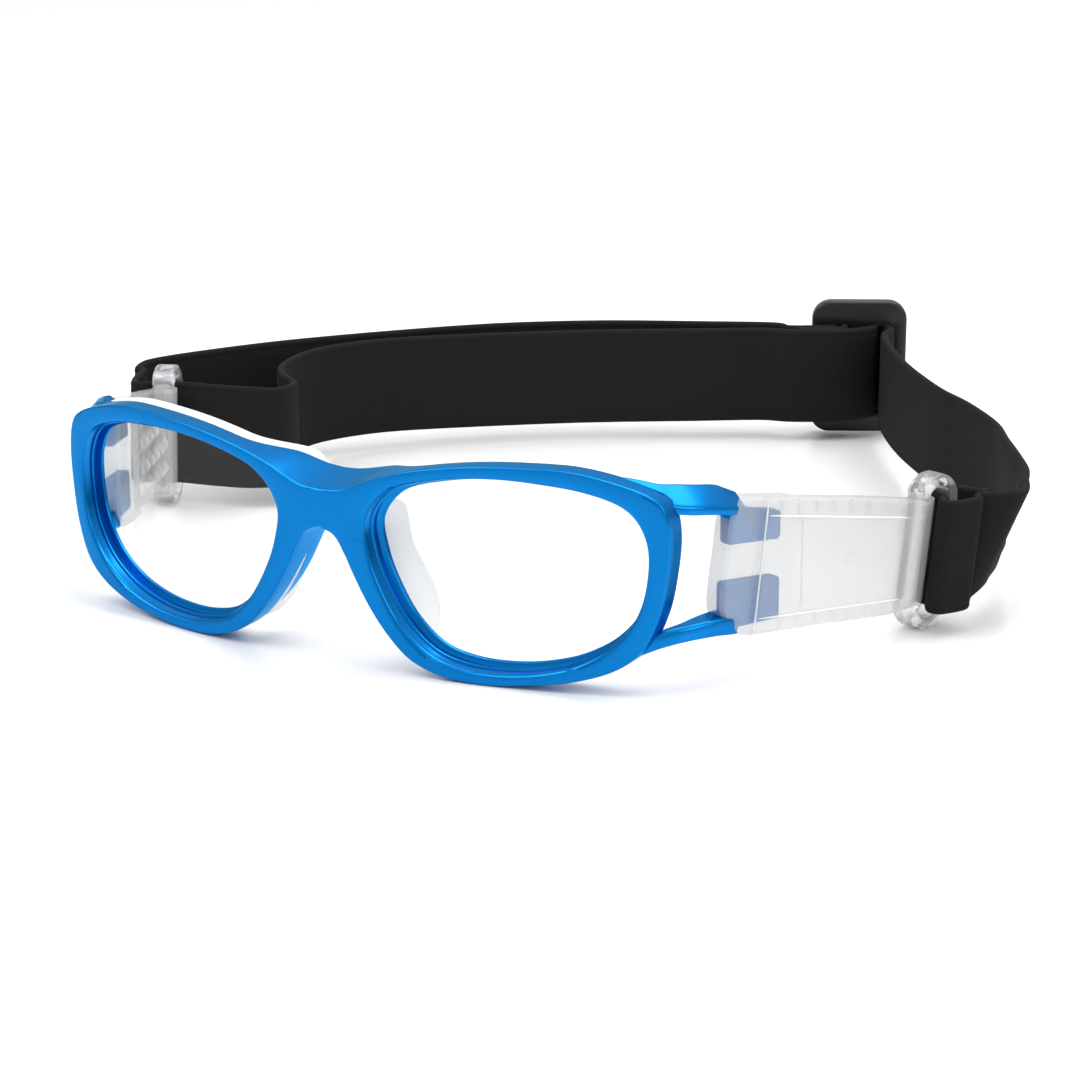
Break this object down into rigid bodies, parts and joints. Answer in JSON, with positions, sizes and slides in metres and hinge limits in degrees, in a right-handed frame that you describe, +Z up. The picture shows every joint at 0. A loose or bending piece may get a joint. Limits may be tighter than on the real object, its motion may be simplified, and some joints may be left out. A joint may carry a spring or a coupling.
{
  "type": "sports protective goggles",
  "caption": "Wrapped two-lens sports goggles with soft clear temples, swivelling strap rings and an elastic head strap running through a sliding tri-glide buckle.",
  "frame": {"origin": "middle of the goggles' footprint, on the plane they rest on", "axes": "+Z up; +X the wearer's left; -Y the way the wearer faces"},
  "size_m": [0.1923, 0.1903, 0.0379],
  "materials": {
    "frame_blue": "glossy pearlescent blue injection moulding",
    "lens_clear": "clear polished polycarbonate",
    "silicone_white": "soft white silicone",
    "temple_frosted": "frosted clear flexible moulding",
    "ring_clear": "clear glossy moulding",
    "webbing_black": "ribbed black elastic webbing",
    "thread_dark": "dark thread",
    "buckle_black": "glossy black moulding"
  },
  "bodies": {
    "front": {"frame_front": "frame_blue", "lens_left": "lens_clear", "lens_right": "lens_clear", "brow_liner": "silicone_white", "nose_pad_left": "silicone_white", "nose_pad_right": "silicone_white", "temple_socket_left": "temple_frosted", "temple_socket_right": "temple_frosted", "strap_single": "webbing_black", "strap_outer_layer": "webbing_black", "strap_inner_layer": "webbing_black"},
    "temple_left": {"temple_left": "temple_frosted", "temple_pad_left": "temple_frosted"},
    "temple_right": {"temple_right": "temple_frosted", "temple_pad_right": "temple_frosted"},
    "ring_left": {"strap_ring_left": "ring_clear", "strap_loop_left": "webbing_black", "loop_stitching": "thread_dark"},
    "ring_right": {"strap_ring_right": "ring_clear", "strap_loop_right": "webbing_black"},
    "slider": {"tri_glide": "buckle_black", "strap_weave": "webbing_black", "strap_sewn_end": "webbing_black", "slider_stitching": "thread_dark"}
  },
  "joints": [
    {"name": "temple_left_flex", "type": "hinge", "parent": "front", "child": "temple_left", "pos_m": [0.06861, -0.05536, 0.017], "axis": [0, 0, -1], "range_deg": [0, 6], "stiffness_Nm_per_rad": 0.2},
    {"name": "temple_right_flex", "type": "hinge", "parent": "front", "child": "temple_right", "pos_m": [-0.06861, -0.05536, 0.017], "axis": [0, 0, 1], "range_deg": [0, 6], "stiffness_Nm_per_rad": 0.2},
    {"name": "ring_left_swivel", "type": "hinge", "parent": "temple_left", "child": "ring_left", "pos_m": [0.07925, -0.02968, 0.014], "axis": [0.05, 0.1206, 0.9914], "range_deg": [-18, 18]},
    {"name": "ring_right_swivel", "type": "hinge", "parent": "temple_right", "child": "ring_right", "pos_m": [-0.07925, -0.02968, 0.014], "axis": [-0.05, 0.1206, 0.9914], "range_deg": [-18, 18]},
    {"name": "tri_glide_slide", "type": "slide", "parent": "front", "child": "slider", "axis": [0.8829, 0.4695, 0], "range_m": [-0.004, 0.004]}
  ]
}
